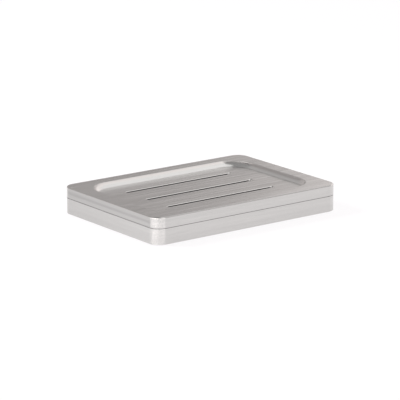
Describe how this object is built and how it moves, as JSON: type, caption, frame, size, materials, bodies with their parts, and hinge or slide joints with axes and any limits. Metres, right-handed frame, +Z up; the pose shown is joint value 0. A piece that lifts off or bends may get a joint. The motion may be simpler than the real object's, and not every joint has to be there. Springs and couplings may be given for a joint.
{
  "type": "soap dish",
  "caption": "Rectangular metal soap dish with a shallow rounded well and long drain slots, in a tray that lifts off a hollow base on feet.",
  "frame": {"origin": "on the surface that the dish stands on, under the middle of its plan", "axes": "+X along the dish's long side, -Y towards its front, +Z up"},
  "size_m": [0.14, 0.1, 0.0174],
  "materials": {
    "brushed_steel": "brushed lengthwise, satin",
    "foot_rubber": "matt, non-slip",
    "pad_silicone": "translucent grey, satin"
  },
  "bodies": {
    "base": {"base_tray": "brushed_steel", "foot_front_left": "foot_rubber", "foot_front_right": "foot_rubber", "foot_back_left": "foot_rubber", "foot_back_right": "foot_rubber", "seat_pad_front_left": "pad_silicone", "seat_pad_front_right": "pad_silicone", "seat_pad_back_left": "pad_silicone", "seat_pad_back_right": "pad_silicone"},
    "drain_tray": {"drain_tray": "brushed_steel"}
  },
  "joints": [
    {"name": "drain_tray_lift", "type": "slide", "parent": "base", "child": "drain_tray", "axis": [0, 0, 1], "range_m": [0, 0.04]}
  ]
}
